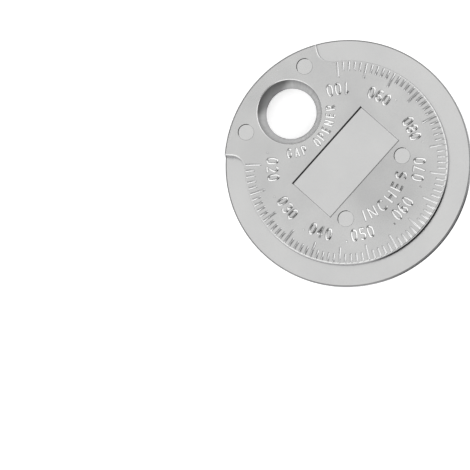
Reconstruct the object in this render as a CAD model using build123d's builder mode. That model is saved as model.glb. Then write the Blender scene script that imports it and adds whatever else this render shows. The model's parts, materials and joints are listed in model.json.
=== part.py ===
"""Coin-type gap gauge for spark plugs, cast in one piece.

A thick hub carries the markings, and round it runs a thin rim shaped as a circular wedge. The rim is
turned into the gap until it fits, and the mark beside the contact gives the gap. The countersunk hole takes
a key ring, and its edge bends the plug's electrode.

The front face looks up, +Y points from the middle of the disc to the hole, and the raised marks of the
back face touch Z = 0. Lengths are in millimetres. Angles are in degrees, anticlockwise from +X, seen from
the front.
"""

import os
from math import degrees, radians, sqrt, tan

from build123d import *

# Disc and hub
disc_diameter = 34.0
rim_width = 2.95
hub_thickness = 4.0
hub_draft = 4.0
shoulder_fillet = 1.8

# Gauging rim, thinnest at the first mark and thickest at the last one
inch = 25.4
thinnest_gap = 0.020 * inch
thickest_gap = 0.100 * inch
scale_sweep = 273.9
scale_middle = 270.0
lead_in = 4.5
run_out = 8.9
section_step = 12.0

# Hole with a countersink from each face
hole_diameter = 7.05
countersink_diameter = 9.0
hole_land = 0.6
hole_edge_wall = 2.0

# Plain sunk panel in the middle of the front face, as large as the characters round it allow
panel_edge_clearance = 0.545
panel_corner_clearance = 1.4
panel_depth = 0.25

# Shallow marks of the ejector pins on the front face, two in the tab and one beyond each end of the
# unit's name
pin_mark_diameter = 2.2
pin_mark_depth = 0.1
tab_pin_inset = 2.525
tab_pin_turn = 24.7
scale_pin_clearance = 0.35
unit_pin_clearance = 0.915

# Raised marks
relief = 0.15
stroke = 0.27
mark_width = 0.32
short_mark = 1.4
long_mark = 2.3
mark_setback = 0.1
marks_per_long_mark = 5

# Inch scale of the front face
inch_mark_step = 0.001 * inch
inch_numeral_step = 0.010 * inch

# Millimetre scale of the back face
metric_first = 0.5
metric_last = 2.5
metric_mark_step = 0.05
metric_numeral_step = 0.5

# Numerals inside the long marks
numeral_height = 1.8
numeral_width = 1.0
numeral_pitch = 1.15
numeral_clearance = 0.6

# Name of the unit, inside the numerals
unit_name = "INCHES"
unit_height = 1.7
unit_width = 1.2
unit_pitch = 1.63
unit_clearance = 0.55
unit_angle = 271.0

# Words that say what the hole's edge does, close round the countersink
hint_height = 1.45
hint_width = 0.8
hint_pitch = 1.045
hint_clearance = 0.5
hint_angle = 269.5

# Shares of the pitch that the narrow characters take
narrow_advance = {"I": 0.5, ".": 0.8}

# Degrees by which some numerals stand off the middle of their mark
numeral_shift = {
    ".020": 1.3, ".040": -1.7, ".050": -3.0, ".070": -1.25, ".080": -3.0, ".090": -0.4, "100": 1.1
}

# Strokes of each character, as chains of points with the corners of the bowls cut off. They lie on a grid
# where the middle of a stroke along the character's edge is at 1, so free ends run on past 1 to that
# stroke's far side.
oval = [
    (1, 0), (1, 0.55), (0.4, 1), (-0.4, 1), (-1, 0.55), (-1, -0.55), (-0.4, -1), (0.4, -1), (1, -0.55), (1, 0)
]
strokes = {
    ".": [[(-0.37, -1), (0.37, -1)]],
    "0": [oval],
    "1": [[(-0.9, 0.45), (0.1, 1)], [(0.1, 1.18), (0.1, -1.18)]],
    "2": [
        [(-1, 0.6), (-0.45, 1), (0.45, 1), (1, 0.6), (1, 0.3), (-0.8, -0.85)],
        [(-1.3, -1), (1.3, -1)],
    ],
    "3": [
        [(-1, 0.7), (-0.45, 1), (0.4, 1), (0.9, 0.7), (0.9, 0.3), (0.4, 0.03), (-0.4, 0.03)],
        [(0.35, 0.03), (1, -0.3), (1, -0.65), (0.45, -1), (-0.45, -1), (-1, -0.65)],
    ],
    "4": [[(0.4, 1.18), (0.4, -1.18)], [(0.3, 1), (-1, -0.35)], [(-1.3, -0.4), (1.3, -0.4)]],
    "5": [
        [(-0.8, 0), (-0.8, 1.18)],
        [(-0.8, 1), (1.2, 1)],
        [(-0.8, 0.15), (0.4, 0.15), (1, -0.15), (1, -0.6), (0.45, -1), (-0.4, -1), (-1, -0.7)],
    ],
    "6": [
        [(0, 0.12), (0.45, 0.12), (1, -0.2), (1, -0.65), (0.45, -1), (-0.45, -1), (-1, -0.65), (-1, -0.2),
         (-0.45, 0.12), (0, 0.12)],
        [(-1, -0.4), (-1, 0.45), (-0.35, 1), (0.45, 1), (1, 0.65)],
    ],
    "7": [[(-1.3, 1), (1.3, 1)], [(0.95, 1), (-0.3, -1.18)]],
    "8": [
        [(0, 1), (0.4, 1), (0.85, 0.72), (0.85, 0.3), (0.4, 0.03), (-0.4, 0.03), (-0.85, 0.3), (-0.85, 0.72),
         (-0.4, 1), (0, 1)],
        [(0, -1), (0.45, -1), (1, -0.65), (1, -0.3), (0.45, 0.03), (-0.45, 0.03), (-1, -0.3), (-1, -0.65),
         (-0.45, -1), (0, -1)],
    ],
    "9": [
        [(0, -0.12), (-0.45, -0.12), (-1, 0.2), (-1, 0.65), (-0.45, 1), (0.45, 1), (1, 0.65), (1, 0.2),
         (0.45, -0.12), (0, -0.12)],
        [(1, 0.4), (1, -0.45), (0.35, -1), (-0.45, -1), (-1, -0.65)],
    ],
    "A": [[(-1.1, -1.18), (0, 1.1)], [(0, 1.1), (1.1, -1.18)], [(-0.6, -0.4), (0.6, -0.4)]],
    "C": [[(1, 0.6), (0.45, 1), (-0.4, 1), (-1, 0.55), (-1, -0.55), (-0.4, -1), (0.45, -1), (1, -0.6)]],
    "E": [[(-1, -1.18), (-1, 1.18)], [(-1, 1), (1.25, 1)], [(-1, 0), (1, 0)], [(-1, -1), (1.25, -1)]],
    "G": [
        [(1, 0.6), (0.45, 1), (-0.4, 1), (-1, 0.55), (-1, -0.55), (-0.4, -1), (0.4, -1), (1, -0.55),
         (1, 0.15)],
        [(1, -0.03), (0.1, -0.03)],
    ],
    "H": [[(-1, -1.18), (-1, 1.18)], [(1, -1.18), (1, 1.18)], [(-1, 0), (1, 0)]],
    "I": [[(0, -1.18), (0, 1.18)]],
    "M": [[(-1, -1.18), (-1, 1.18)], [(-0.9, 1), (0, -0.4)], [(0, -0.4), (0.9, 1)], [(1, -1.18), (1, 1.18)]],
    "N": [[(-1, -1.18), (-1, 1.18)], [(-0.9, 1), (0.9, -1)], [(1, -1.18), (1, 1.18)]],
    "O": [oval],
    "P": [[(-1, -1.18), (-1, 1.18)], [(-1, 1), (0.4, 1), (1, 0.7), (1, 0.25), (0.4, -0.06), (-1, -0.06)]],
    "R": [
        [(-1, -1.18), (-1, 1.18)],
        [(-1, 1), (0.4, 1), (1, 0.7), (1, 0.25), (0.4, -0.06), (-1, -0.06)],
        [(0.1, -0.06), (1.1, -1.18)],
    ],
    "S": [
        [(1, 0.65), (0.45, 1), (-0.45, 1), (-0.95, 0.72), (-0.95, 0.35), (-0.4, 0.06), (0.4, -0.06),
         (1, -0.35), (1, -0.68), (0.45, -1), (-0.45, -1), (-1, -0.65)],
    ],
}

# Radii and levels that follow from the sizes above
disc_radius = disc_diameter / 2
hub_radius = disc_radius - rim_width
countersink_radius = countersink_diameter / 2
hole_centre = disc_radius - hole_edge_wall - countersink_radius
numeral_radius = hub_radius - mark_setback - long_mark - numeral_clearance - numeral_height / 2
unit_radius = numeral_radius - unit_clearance - (numeral_height + unit_height) / 2
hint_radius = countersink_radius + hint_clearance + hint_height / 2
back_level = relief
middle_level = back_level + hub_thickness / 2
front_level = back_level + hub_thickness

# The panel lies between the words round the hole and the numerals
numerals_inner_radius = numeral_radius - numeral_height / 2
panel_half_height = hole_centre - hint_radius - hint_height / 2 - panel_edge_clearance
panel_half_width = sqrt((numerals_inner_radius - panel_corner_clearance) ** 2 - panel_half_height**2)

# The scale runs round the side away from the hole, and the tab fills the rest of the circle
first_angle = scale_middle - scale_sweep / 2
last_angle = scale_middle + scale_sweep / 2
low_shoulder = first_angle - lead_in
high_shoulder = last_angle + run_out
tab_sweep = low_shoulder + 360 - high_shoulder

# The two faces that carry marks, each with its X to the right of whoever looks at it
front_face = Plane.XY.offset(front_level)
back_face = Plane(origin=(0, 0, back_level), x_dir=(-1, 0, 0), z_dir=(0, 0, -1))


def gap_angle(gap):
    """Angle at which the rim is as thick as a gap."""
    return first_angle + scale_sweep * (gap - thinnest_gap) / (thickest_gap - thinnest_gap)


def rim_thickness(angle):
    """Thickness of the rim at an angle."""
    return thinnest_gap + (thickest_gap - thinnest_gap) * (angle - first_angle) / scale_sweep


def radial_plane(angle):
    """Upright plane through the disc's axis, with X pointing outwards at an angle."""
    outwards = Vector(1, 0, 0).rotate(Axis.Z, angle)
    return Plane(origin=(0, 0, middle_level), x_dir=outwards, z_dir=outwards.cross(Vector(0, 0, -1)))


def draw_character(symbol, width, height):
    """One character of even strokes, centred on the origin."""
    half_width = (width - stroke) / 2
    half_height = (height - stroke) / 2
    with BuildSketch() as drawn:
        for chain in strokes[symbol]:
            with BuildLine():
                Polyline([(x * half_width, y * half_height) for x, y in chain])
            trace(line_width=stroke)
    return drawn.sketch


def text_advances(text, pitch):
    """Length that each character takes along the line of a text."""
    return [pitch * narrow_advance.get(symbol, 1) for symbol in text]


def place_text(text, size, pitch, radius, middle_angle, centre=(0, 0)):
    """Characters along a circle, reading anticlockwise with their tops towards its centre."""
    advances = text_advances(text, pitch)
    placed = []
    for index, symbol in enumerate(text):
        along = sum(advances[:index]) + advances[index] / 2 - sum(advances) / 2
        angle = middle_angle + degrees(along / radius)
        spot = Vector(*centre) + Vector(radius, 0).rotate(Axis.Z, angle)
        if symbol != " ":
            placed.append(draw_character(symbol, *size).moved(Location(spot, (0, 0, angle + 90))))
    return placed


def draw_marks(first, last, count):
    """Short marks at even angles inside the hub's edge, with a long one at every fifth."""
    outer_end = hub_radius - mark_setback
    turn = (last - first) / (count - 1)
    for length, every in ((short_mark, 1), (long_mark, marks_per_long_mark)):
        copies = (count - 1) // every + 1
        sweep = turn * every * (copies - 1)
        with PolarLocations(outer_end - length / 2, copies, first, sweep, endpoint=True):
            Rectangle(length, mark_width)


# Inch scale and words of the front face
inch_marks = round((thickest_gap - thinnest_gap) / inch_mark_step) + 1
inch_numerals = round((thickest_gap - thinnest_gap) / inch_numeral_step) + 1
numeral_size = (numeral_width, numeral_height)
unit_size = (unit_width, unit_height)
front_text = place_text(unit_name, unit_size, unit_pitch, unit_radius, unit_angle)
front_text += place_text(
    "GAP OPENER", (hint_width, hint_height), hint_pitch, hint_radius, hint_angle, (0, hole_centre)
)
for index in range(inch_numerals):
    gap = thinnest_gap + index * inch_numeral_step
    thousandths = round(gap / inch * 1000)
    numeral = f".{thousandths:03d}" if thousandths < 100 else f"{thousandths}"
    numeral_angle = gap_angle(gap) + numeral_shift.get(numeral, 0)
    front_text += place_text(numeral, numeral_size, numeral_pitch, numeral_radius, numeral_angle)

with BuildSketch(front_face) as front_marks:
    draw_marks(first_angle, last_angle, inch_marks)
    add(front_text)

# Millimetre scale of the back face, where the angles run the other way round
metric_marks = round((metric_last - metric_first) / metric_mark_step) + 1
metric_numerals = round((metric_last - metric_first) / metric_numeral_step) + 1
back_text = place_text("MM", unit_size, unit_pitch, unit_radius, 180 - scale_middle)
for index in range(metric_numerals):
    gap = metric_first + index * metric_numeral_step
    back_text += place_text(
        f"{gap:.1f}", numeral_size, numeral_pitch, numeral_radius, 180 - gap_angle(gap)
    )

with BuildSketch(back_face) as back_marks:
    draw_marks(180 - gap_angle(metric_last), 180 - gap_angle(metric_first), metric_marks)
    add(back_text)

with BuildPart() as gauge_disc:
    # Hub and tab, drawn at the parting line and drafted towards both faces
    parting_radius = hub_radius + tan(radians(hub_draft)) * hub_thickness / 2
    tab_reach = disc_radius + rim_width
    with BuildSketch(Plane.XY.offset(middle_level)) as hub_outline:
        with BuildLine():
            hub_edge = CenterArc((0, 0), parting_radius, low_shoulder, 360 - tab_sweep)
            tab_edge = CenterArc((0, 0), tab_reach, high_shoulder, tab_sweep)
            Line(hub_edge @ 1, tab_edge @ 0)
            Line(tab_edge @ 1, hub_edge @ 0)
        make_face()
        fillet(hub_outline.vertices().sort_by_distance((0, 0))[:2], shoulder_fillet)
    extrude(amount=hub_thickness / 2, both=True, taper=hub_draft)

    # Rim, lofted through upright sections that start inside the hub and end past the disc's edge
    rim_start = low_shoulder - section_step / 2
    rim_end = high_shoulder + section_step / 2
    rim_spans = round((rim_end - rim_start) / section_step)
    for index in range(rim_spans + 1):
        section_angle = rim_start + (rim_end - rim_start) * index / rim_spans
        with BuildSketch(radial_plane(section_angle)):
            with Locations(((hub_radius + disc_radius) / 2, 0)):
                Rectangle(3 * rim_width, rim_thickness(section_angle))
    loft(ruled=True)

    # The disc's edge trims the tab and the rim
    with Locations((0, 0, back_level)):
        Cylinder(
            disc_radius,
            hub_thickness,
            align=(Align.CENTER, Align.CENTER, Align.MIN),
            mode=Mode.INTERSECT,
        )

    # Sunk panel
    with BuildSketch(front_face):
        Rectangle(2 * panel_half_width, 2 * panel_half_height)
    extrude(amount=-panel_depth, mode=Mode.SUBTRACT)

    # Pin marks, in pairs either side of the line through the hole and the middle of the scale
    scale_pin_radius = numerals_inner_radius - scale_pin_clearance - pin_mark_diameter / 2
    unit_half_turn = degrees(sum(text_advances(unit_name, unit_pitch)) / 2 / unit_radius)
    scale_pin_turn = unit_half_turn + degrees((unit_pin_clearance + pin_mark_diameter / 2) / scale_pin_radius)
    with BuildSketch(front_face):
        with PolarLocations(
            disc_radius - tab_pin_inset, 2, 90 - tab_pin_turn, 2 * tab_pin_turn, endpoint=True
        ):
            Circle(pin_mark_diameter / 2)
        with PolarLocations(
            scale_pin_radius, 2, scale_middle - scale_pin_turn, 2 * scale_pin_turn, endpoint=True
        ):
            Circle(pin_mark_diameter / 2)
    extrude(amount=-pin_mark_depth, mode=Mode.SUBTRACT)

    # Raised marks of both faces
    extrude(front_marks.sketch, amount=relief)
    extrude(back_marks.sketch, amount=relief)

    # Hole, narrowest at the parting line, cut through whatever stands in its way on either face
    with BuildSketch(Plane.XZ.offset(-hole_centre)):
        with BuildLine():
            Polyline(
                (0, back_level - relief),
                (countersink_radius, back_level - relief),
                (countersink_radius, back_level),
                (hole_diameter / 2, middle_level - hole_land / 2),
                (hole_diameter / 2, middle_level + hole_land / 2),
                (countersink_radius, front_level),
                (countersink_radius, front_level + relief),
                (0, front_level + relief),
                close=True,
            )
        make_face()
    revolve(axis=Axis((0, hole_centre, 0), (0, 0, 1)), mode=Mode.SUBTRACT)

gauge_disc.part.label = "gauge_disc"
os.makedirs("parts", exist_ok=True)
export_step(gauge_disc.part, "parts/gauge_disc.step")
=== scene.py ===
"""Studio scene of a coin-type gap gauge for spark plugs, dressed round its CAD model.

The gauge is one casting. It is modelled here as the casting with its hub, tab, rim and hole, and as the marks
that stand on its two faces. Pieces are modelled in millimetres and scaled to metres when they are finished.
+Y points from the middle of the disc to the hole, and angles run anticlockwise from +X, seen from the front.
"""

import json
from math import asin, atan2, cos, degrees, pi, radians, sin, tan
from types import SimpleNamespace

import bmesh
import bpy
from bpy.props import FloatProperty, FloatVectorProperty, PointerProperty
from mathutils import Matrix, Vector


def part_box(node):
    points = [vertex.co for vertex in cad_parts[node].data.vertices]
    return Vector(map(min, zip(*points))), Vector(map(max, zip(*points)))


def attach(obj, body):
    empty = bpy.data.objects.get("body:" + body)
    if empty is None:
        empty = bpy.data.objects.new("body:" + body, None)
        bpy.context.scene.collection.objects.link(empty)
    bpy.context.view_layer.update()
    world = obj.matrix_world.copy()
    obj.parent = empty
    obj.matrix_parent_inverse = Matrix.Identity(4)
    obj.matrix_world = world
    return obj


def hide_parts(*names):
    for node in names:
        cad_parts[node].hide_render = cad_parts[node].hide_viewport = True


bl_info = {
    "name": "Spark plug gap gauge",
    "version": (1, 0, 0),
    "blender": (4, 5, 0),
    "location": "3D View > Sidebar > Gauge",
    "description": "Models a coin-type gap gauge and the studio round it",
    "category": "Object",
}

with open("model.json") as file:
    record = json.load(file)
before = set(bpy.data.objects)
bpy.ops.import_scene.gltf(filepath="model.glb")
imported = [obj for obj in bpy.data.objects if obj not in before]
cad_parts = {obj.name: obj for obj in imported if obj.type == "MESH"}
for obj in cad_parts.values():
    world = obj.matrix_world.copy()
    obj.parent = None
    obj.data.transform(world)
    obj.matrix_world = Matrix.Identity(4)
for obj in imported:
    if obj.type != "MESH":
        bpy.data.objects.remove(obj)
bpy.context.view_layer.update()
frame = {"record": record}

MM = 0.001
INCH = 25.4 * MM
PICTURE_SIDE = 470

gauge_low, gauge_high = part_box("gauge_disc")
mounts = {mount["name"]: mount for mount in frame["record"]["mounts"]}
mark_relief = mounts["back_face"]["pos_m"][2]
front_level = gauge_high.z - mark_relief
panel_level = mounts["front_panel"]["pos_m"][2]
hole_position = mounts["ring_hole"]["pos_m"]
hole_sizes = mounts["ring_hole"]["dims"]


def linear_colour(code):
    """Linear red, green and blue of an sRGB hex colour."""
    channels = [int(code[i : i + 2], 16) / 255 for i in (1, 3, 5)]
    return [c / 12.92 if c <= 0.04045 else ((c + 0.055) / 1.055) ** 2.4 for c in channels]


def length(name, value, description):
    """A property that holds a length in metres."""
    return FloatProperty(name=name, description=description, default=value, unit="LENGTH", subtype="DISTANCE")


def angle(name, value, description):
    """A property that holds an angle, given here in degrees."""
    return FloatProperty(name=name, description=description, default=radians(value), subtype="ANGLE")


def colour(name, code, description):
    """A property that holds a colour, given here as sRGB hex."""
    return FloatVectorProperty(
        name=name, description=description, default=linear_colour(code), subtype="COLOR", min=0, max=1
    )


def pixels(name, value, description):
    """A property that holds a distance in the picture, in pixels."""
    return FloatProperty(name=name, description=description, default=value, subtype="PIXEL")


class GaugeCasting(bpy.types.PropertyGroup):
    """Sizes of the casting."""

    disc_diameter: length("Disc diameter", gauge_high.x - gauge_low.x, "Across the gauging rim")
    rim_width: length("Rim width", 2.95 * MM, "From the hub's edge to the disc's edge")
    hub_thickness: length("Hub thickness", front_level - mark_relief, "Between the faces, without marks")
    hub_draft: angle("Hub draft", 4, "Lean of the hub's wall towards each face")
    shoulder_fillet: length("Shoulder fillet", 1.8 * MM, "Where the hub's edge turns out along the tab")
    edge_rounding: length("Edge rounding", 0.24 * MM, "Radius of the hub's and the tab's edges")
    rim_rounding: length("Rim rounding", 0.18 * MM, "Radius of the rim's outer edges")
    thinnest_gap: length("Thinnest gap", 0.020 * INCH, "Rim thickness at the first mark")
    thickest_gap: length("Thickest gap", 0.100 * INCH, "Rim thickness at the last mark")
    scale_middle: angle("Scale middle", 270, "Direction of the scale's middle mark")
    scale_sweep: angle("Scale sweep", 273.9, "From the first mark to the last")
    lead_in: angle("Lead-in", 4.5, "From the tab to the first mark")
    run_out: angle("Run-out", 8.9, "From the last mark to the tab")
    hole_centre: length("Hole centre", hole_position[1], "From the middle of the disc to the hole")
    hole_radius: length("Hole radius", hole_sizes["r_mm"] * MM, "At the hole's narrowest place")
    hole_land: length("Hole land", hole_sizes["length_mm"] * MM, "Straight wall between the cones")
    countersink_radius: length("Countersink radius", 4.5 * MM, "Where the cone meets each face")
    lip_rounding: length("Lip rounding", 0.16 * MM, "Radius of the countersink's lip")
    panel_width: length("Panel width", 14.05 * MM, "Of the plain sunk panel")
    panel_height: length("Panel height", 7.01 * MM, "Of the plain sunk panel")
    panel_depth: length("Panel depth", front_level - panel_level, "Of the plain sunk panel")
    pin_mark_radius: length("Pin mark radius", 1.1 * MM, "Of the shallow round marks")
    pin_mark_depth: length("Pin mark depth", 0.1 * MM, "Of the shallow round marks")
    tab_pin_radius: length("Tab pin distance", 14.475 * MM, "From the disc's middle to the tab's pin marks")
    tab_pin_turn: angle("Tab pin turn", 24.7, "From the hole to each of the tab's pin marks")
    scale_pin_radius: length("Scale pin distance", 7.8 * MM, "From the disc's middle to the other pin marks")
    scale_pin_turn: angle("Scale pin turn", 47.5, "From the scale's middle to each of the other pin marks")


class GaugeMarks(bpy.types.PropertyGroup):
    """Sizes of the marks and characters."""

    relief: length("Relief", mark_relief, "Height of the marks above their face")
    mark_width: length("Mark width", 0.38 * MM, "Across one mark of the scales")
    short_mark: length("Short mark", 1.4 * MM, "Length of most marks")
    long_mark: length("Long mark", 2.3 * MM, "Length of every fifth mark")
    mark_setback: length("Mark setback", 0.1 * MM, "From the hub's edge to the marks")
    mark_rounding: length("Mark rounding", 0.17 * MM, "Radius of a mark's edges")
    stroke: length("Stroke", 0.31 * MM, "Across the strokes of the characters")
    numeral_height: length("Numeral height", 1.8 * MM, "Of the numerals inside the long marks")
    numeral_width: length("Numeral width", 1.0 * MM, "Of the numerals inside the long marks")
    numeral_pitch: length("Numeral pitch", 1.15 * MM, "From one numeral to the next")
    numeral_radius: length("Numeral radius", 10.15 * MM, "From the middle of the disc to the numerals")
    unit_height: length("Unit height", 1.7 * MM, "Of the unit's name")
    unit_width: length("Unit width", 1.2 * MM, "Of a character of the unit's name")
    unit_pitch: length("Unit pitch", 1.63 * MM, "From one character of the unit's name to the next")
    unit_radius: length("Unit radius", 7.85 * MM, "From the middle of the disc to the unit's name")
    unit_angle: angle("Unit angle", 271, "Direction of the middle of the unit's name")
    hint_height: length("Hint height", 1.45 * MM, "Of the words round the hole")
    hint_width: length("Hint width", 0.8 * MM, "Of a character of the words round the hole")
    hint_pitch: length("Hint pitch", 1.045 * MM, "From one character round the hole to the next")
    hint_radius: length("Hint radius", 5.725 * MM, "From the middle of the hole to its words")
    hint_angle: angle("Hint angle", 269.5, "Direction of the middle of the words round the hole")


class GaugeFinish(bpy.types.PropertyGroup):
    """Colours of the plate and of the floor."""

    plate: colour("Plate", "#D2D2D1", "Satin plate on the hub's faces and the characters")
    plate_shade: colour("Plate, duller", "#BABABA", "Satin plate where it is a little duller")
    # Tone in the middle of a round, darker patch of the front face
    haze: colour("Haze", "#9C9C9C", "Plate in the middle of its hazy patch")
    rubbed: colour("Rubbed plate", "#D4D4D3", "Brighter plate on the rim and in the panel")
    rubbed_shade: colour("Rubbed plate, duller", "#C8C8C8", "That plate where it is a little duller")
    mark: colour("Mark", "#D0D0D0", "Plate on the marks of the scales")
    mark_shade: colour("Mark, duller", "#C0C0C0", "Plate on the marks where it is a little duller")
    # Painted shade on the steep sides of the marks that run across
    mark_wall: colour("Mark wall", "#4C4C4E", "Plate on the steep sides of marks that run across")
    # Painted shade: the cone is darker than the faces, and darker still on its side towards the tab's edge
    cone: colour("Cone", "#C0C0C0", "Plate on the cone of the hole")
    cone_shade: colour("Cone, duller", "#A8A8A8", "Plate on the cone of the hole where it is duller")
    cone_dark: colour("Cone, dark side", "#7A7A7A", "Plate on the cone's side towards the tab's edge")
    # Painted shade on the walls of the panel and the pin marks on the side towards the hole
    recess: colour("Recess", "#464646", "Plate on the walls of the sunk places towards the hole")
    recess_shade: colour("Recess, duller", "#383838", "Plate on those walls where it is duller")
    # Painted shade on the tab's rounded outer edge
    cut: colour("Cut edge", "#7C7C7C", "Darker plate on the tab's outer edge")
    cut_shade: colour("Cut edge, duller", "#686868", "Plate on the tab's outer edge where it is duller")
    # Painted shade: darker plate on the rounded edge round the disc
    edge: colour("Edge", "#8A8A8A", "Plate on the trimmed edge round the disc")
    edge_shade: colour("Edge, duller", "#707070", "Plate on the trimmed edge where it is duller")
    # Painted shade: darker upright walls, and a dark tint on their shine seen edge on
    wall: colour("Wall", "#9A9A9C", "Duller plate on the upright walls")
    wall_glance: colour("Wall at a glance", "#646464", "Tint of the walls' shine seen edge on")
    # Painted shade on the upright part of that edge, and a near-black tint on its shine seen edge on
    edge_wall: colour("Edge wall", "#808082", "Plate on the upright part of the trimmed edge")
    edge_glance: colour("Edge wall at a glance", "#0C0C0C", "Tint of that edge's shine seen edge on")
    floor: colour("Floor", "#F2F2F2", "Sheet that the gauge lies on")


class GaugeStudio(bpy.types.PropertyGroup):
    """Camera and lights."""

    lens: FloatProperty(
        name="Lens", description="Focal length in millimetres", default=200, subtype="DISTANCE_CAMERA"
    )
    elevation: angle("Elevation", 80, "Of the camera above the floor")
    roll: angle("Roll", 48.3, "Turn of the gauge in the picture, anticlockwise")
    disc_across: pixels("Disc in the picture", 247.5, "Diameter of the disc")
    disc_right: pixels("Disc from the left", 346.8, "Middle of the disc")
    disc_down: pixels("Disc from the top", 163.1, "Middle of the disc")


PROPERTY_GROUPS = {
    "gauge_casting": GaugeCasting,
    "gauge_marks": GaugeMarks,
    "gauge_finish": GaugeFinish,
    "gauge_studio": GaugeStudio,
}


def modelling_sizes(context):
    """The sizes of the casting and the marks by name, lengths in millimetres and angles in degrees."""
    sizes = {}
    for group in (context.scene.gauge_casting, context.scene.gauge_marks):
        for name in group.__annotations__:
            is_length = group.bl_rna.properties[name].unit == "LENGTH"
            value = getattr(group, name)
            sizes[name] = value / MM if is_length else degrees(value)
    return SimpleNamespace(
        **sizes,
        disc_radius=sizes["disc_diameter"] / 2,
        hub_radius=sizes["disc_diameter"] / 2 - sizes["rim_width"],
        half_thickness=sizes["hub_thickness"] / 2,
        middle_level=sizes["relief"] + sizes["hub_thickness"] / 2,
        first_angle=sizes["scale_middle"] - sizes["scale_sweep"] / 2,
        last_angle=sizes["scale_middle"] + sizes["scale_sweep"] / 2,
        low_shoulder=sizes["scale_middle"] - sizes["scale_sweep"] / 2 - sizes["lead_in"],
        high_shoulder=sizes["scale_middle"] + sizes["scale_sweep"] / 2 + sizes["run_out"],
    )


def polar(radius, angle_degrees, centre=(0, 0)):
    """A point at a radius and an angle from a centre, at Z = 0."""
    turned = radians(angle_degrees)
    return Vector((centre[0] + radius * cos(turned), centre[1] + radius * sin(turned), 0))


def line_from(bm, vertex, end):
    """Draws an edge from a vertex, and returns the vertex at its end."""
    drawn = bmesh.ops.extrude_vert_indiv(bm, verts=[vertex])["verts"][0]
    drawn.co = end
    return drawn


def arc_from(bm, vertex, centre, sweep, steps, axis=(0, 0, 1)):
    """Draws edges from a vertex round a centre, through an angle in degrees, and returns the last vertex."""
    drawn = bmesh.ops.spin(bm, geom=[vertex], cent=centre, axis=axis, angle=radians(sweep), steps=steps)
    return drawn["geom_last"][0]


def fill_outline(bm):
    """Closes a chain of edges whose ends meet, and fills it with one face that looks up."""
    bmesh.ops.remove_doubles(bm, verts=bm.verts, dist=merge_distance)
    bmesh.ops.edgeloop_fill(bm, edges=bm.edges)
    face = bm.faces[:][0]
    face.normal_update()
    if face.normal.z < 0:
        face.normal_flip()
    return face


def rounding(radius, steps, turn=90):
    """Sideways and upright parts of each step along an arc that leaves an upright wall."""
    turns = [radians(turn) * index / steps for index in range(steps + 1)]
    return [(radius * (cos(a) - cos(b)), radius * (sin(b) - sin(a))) for a, b in zip(turns, turns[1:])]


def terrace(bm, face, steps):
    """Takes a face inwards and upwards step by step, with a band of faces at each step."""
    for inwards, upwards in steps:
        bmesh.ops.inset_region(
            bm, faces=[face], thickness=inwards, depth=upwards, use_boundary=True, use_even_offset=True
        )


def whole_of(bm):
    """Every vertex, edge and face of a bmesh."""
    return bm.verts[:] + bm.edges[:] + bm.faces[:]


def mirror_down(bm):
    """Adds the mirror image of a shell below Z = 0, joined along its open edge."""
    bmesh.ops.mirror(bm, geom=whole_of(bm), matrix=Matrix.Identity(4), merge_dist=merge_distance, axis="Z")


def close_shell(bm):
    """Fills the open ends of a shell, and turns all its faces outwards."""
    open_edges = [edge for edge in bm.edges if edge.is_boundary]
    if open_edges:
        bmesh.ops.edgeloop_fill(bm, edges=open_edges)
    bmesh.ops.recalc_face_normals(bm, faces=bm.faces)


def boolean(bm, others, operation):
    """The result of a boolean between one closed shell and others, as a new bmesh."""
    scratch = []
    for source in (bm, *others):
        mesh = bpy.data.meshes.new("scratch")
        source.to_mesh(mesh)
        source.free()
        scratch.append(bpy.data.objects.new("scratch", mesh))
        bpy.context.scene.collection.objects.link(scratch[-1])
    target = scratch[0]
    for other in scratch[1:]:
        modifier = target.modifiers.new("boolean", "BOOLEAN")
        modifier.operation = operation
        modifier.solver = "EXACT"
        modifier.object = other
    evaluated = target.evaluated_get(bpy.context.evaluated_depsgraph_get())
    result = bmesh.new()
    result.from_mesh(evaluated.to_mesh())
    for item in scratch:
        mesh = item.data
        bpy.data.objects.remove(item)
        bpy.data.meshes.remove(mesh)
    return result


def add_copy(bm, mesh, place):
    """Adds a copy of a mesh to a bmesh, moved to its place."""
    before = len(bm.verts)
    bm.from_mesh(mesh)
    bm.verts.ensure_lookup_table()
    bmesh.ops.transform(bm, matrix=place, verts=bm.verts[before:])


def finish_piece(bm, name, material):
    """Turns a bmesh in millimetres into a piece in metres that rides on the gauge."""
    bmesh.ops.scale(bm, vec=(MM, MM, MM), verts=bm.verts)
    mesh = bpy.data.meshes.new(name)
    bm.to_mesh(mesh)
    bm.free()
    mesh.shade_smooth()
    mesh.set_sharp_from_angle(angle=radians(crease_angle))
    mesh.materials.append(material)
    piece = bpy.data.objects.new(name, mesh)
    bpy.context.scene.collection.objects.link(piece)
    weighted = piece.modifiers.new("even shading", "WEIGHTED_NORMAL")
    weighted.keep_sharp = True
    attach(piece, "root")
    return piece


def add_node(tree, kind, inputs=None, **settings):
    """Adds a node. Settings are its properties, and inputs are values or sockets by input name or number."""
    node = tree.nodes.new(kind)
    for name, value in settings.items():
        setattr(node, name, value)
    for name, value in (inputs or {}).items():
        if isinstance(value, bpy.types.NodeSocket):
            tree.links.new(value, node.inputs[name])
        else:
            node.inputs[name].default_value = value
    return node


def pattern_scale(size):
    """Noise scale that gives blotches of about a size in metres."""
    return 1 / size


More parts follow.
